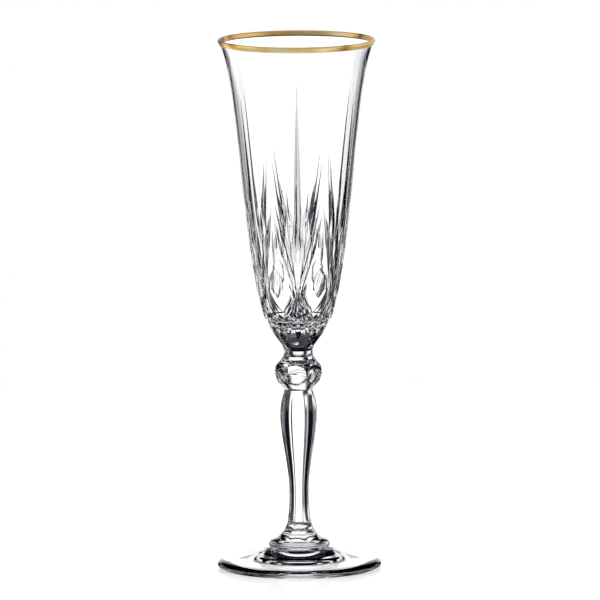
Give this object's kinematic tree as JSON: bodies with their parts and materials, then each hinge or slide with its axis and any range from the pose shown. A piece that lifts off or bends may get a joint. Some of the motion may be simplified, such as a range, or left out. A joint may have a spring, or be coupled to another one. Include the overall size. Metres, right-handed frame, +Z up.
{
  "type": "champagne flute",
  "caption": "Stemmed crystal flute with a flared bowl cut in fans, a gilded lip, a knop, a panelled baluster stem and a domed round foot",
  "frame": {"origin": "centre of the flat ring the foot stands on", "axes": "+Z up along the stem to the rim; -Y is the front, where one cut fan faces; +X to the right"},
  "size_m": [0.065, 0.065, 0.21],
  "materials": {
    "crystal": "polished",
    "gilding": "burnished"
  },
  "bodies": {
    "root": {"rim_band": "gilding", "bowl": "crystal", "knop": "crystal", "baluster_stem": "crystal", "foot_collar": "crystal", "foot": "crystal"}
  },
  "joints": []
}
